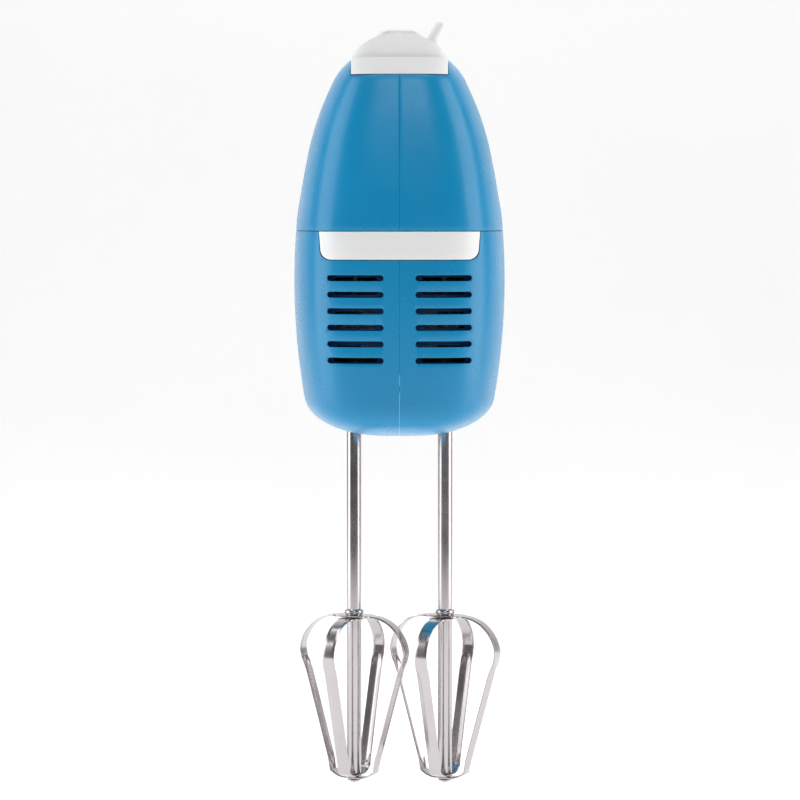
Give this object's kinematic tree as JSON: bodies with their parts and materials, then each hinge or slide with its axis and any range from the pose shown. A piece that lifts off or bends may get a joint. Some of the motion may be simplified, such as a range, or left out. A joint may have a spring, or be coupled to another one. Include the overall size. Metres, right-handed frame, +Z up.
{
  "type": "hand mixer",
  "caption": "Hand-held kitchen mixer with an arched grip, vented nose, speed lever, eject button and strip-cage beaters.",
  "frame": {"origin": "middle of the bounding box at the beater tips", "axes": "+Z up through the handle, -Y out of the nose, +X to the right seen from the nose end"},
  "size_m": [0.0902, 0.192, 0.3236],
  "materials": {
    "blue_shell": "glossy moulded ABS",
    "white_trim": "satin white moulding",
    "navy_baffle": "matt",
    "soft_rubber": "matt",
    "black_moulding": "matt",
    "nylon": "natural",
    "chrome": "polished",
    "bright_steel": "bright",
    "lamination": "stacked sheet",
    "copper": "enamelled copper wire",
    "bearing_bronze": "sintered bronze",
    "carbon": "matt carbon"
  },
  "bodies": {
    "root": {"air_baffle": "navy_baffle", "bearing_bracket": "bright_steel", "brush_holder_left": "bearing_bronze", "brush_holder_right": "bearing_bronze", "carbon_brush_left": "carbon", "carbon_brush_right": "carbon", "control_cover": "white_trim", "cord_gland": "soft_rubber", "eject_bracket": "bright_steel", "eject_spring": "bright_steel", "field_coil_bottom": "copper", "field_coil_top": "copper", "front_bearing": "bearing_bronze", "front_trim": "white_trim", "gear_bush_left": "bearing_bronze", "gear_bush_right": "bearing_bronze", "gear_case": "nylon", "heel_pad": "soft_rubber", "housing_screw_1": "bright_steel", "housing_screw_2": "bright_steel", "housing_screw_3": "bright_steel", "lever_pivot_pin": "bright_steel", "lower_housing_left": "blue_shell", "lower_housing_right": "blue_shell", "rear_bearing": "bearing_bronze", "speed_switch": "black_moulding", "stator_core": "lamination", "upper_shell_left": "blue_shell", "upper_shell_right": "blue_shell"},
    "armature": {"armature_shaft": "bright_steel", "armature_core": "lamination", "front_winding": "copper", "rear_winding": "copper", "commutator": "copper", "cooling_fan": "nylon"},
    "gear_left": {"drive_gear_left": "nylon"},
    "gear_right": {"drive_gear_right": "nylon"},
    "ejector": {"eject_button": "white_trim", "ejector_yoke": "nylon"},
    "pin_left": {"ejector_pin_left": "bright_steel"},
    "pin_right": {"ejector_pin_right": "bright_steel"},
    "beater_left": {"beater_shaft_left": "chrome", "beater_outer_loop_left": "chrome", "beater_inner_loop_left": "chrome"},
    "beater_right": {"beater_shaft_right": "chrome", "beater_outer_loop_right": "chrome", "beater_inner_loop_right": "chrome"},
    "lever": {"speed_lever": "white_trim"}
  },
  "joints": [
    {"name": "armature_spin", "type": "hinge", "parent": "root", "child": "armature", "pos_m": [0, 0, 0.197], "axis": [0, 1, 0], "continuous": true},
    {"name": "gear_left_spin", "type": "hinge", "parent": "root", "child": "gear_left", "pos_m": [-0.01945, -0.042, 0.197], "axis": [0, 0, 1], "continuous": true},
    {"name": "gear_right_spin", "type": "hinge", "parent": "root", "child": "gear_right", "pos_m": [0.01945, -0.042, 0.197], "axis": [0, 0, 1], "continuous": true},
    {"name": "eject_press", "type": "slide", "parent": "root", "child": "ejector", "axis": [0, 0, -1], "range_m": [0, 0.006], "stiffness_N_per_m": 900, "springref_m": -0.004, "deforming": ["eject_spring"]},
    {"name": "pin_left_slide", "type": "slide", "parent": "gear_left", "child": "pin_left", "axis": [0, 0, -1], "range_m": [0, 0.006]},
    {"name": "pin_right_slide", "type": "slide", "parent": "gear_right", "child": "pin_right", "axis": [0, 0, -1], "range_m": [0, 0.006]},
    {"name": "beater_left_pull", "type": "slide", "parent": "pin_left", "child": "beater_left", "axis": [0, 0, -1], "range_m": [0, 0.035]},
    {"name": "beater_right_pull", "type": "slide", "parent": "pin_right", "child": "beater_right", "axis": [0, 0, -1], "range_m": [0, 0.035]},
    {"name": "speed_lever_swing", "type": "hinge", "parent": "root", "child": "lever", "pos_m": [0, -0.072, 0.292], "axis": [0, -1, 0], "range_deg": [0, 60]}
  ],
  "couplings": [
    {"joint": "gear_left_spin", "follows": "armature_spin", "ratio": 0.083333},
    {"joint": "gear_right_spin", "follows": "armature_spin", "ratio": -0.083333},
    {"joint": "pin_left_slide", "follows": "eject_press", "ratio": 1},
    {"joint": "pin_right_slide", "follows": "eject_press", "ratio": 1}
  ]
}
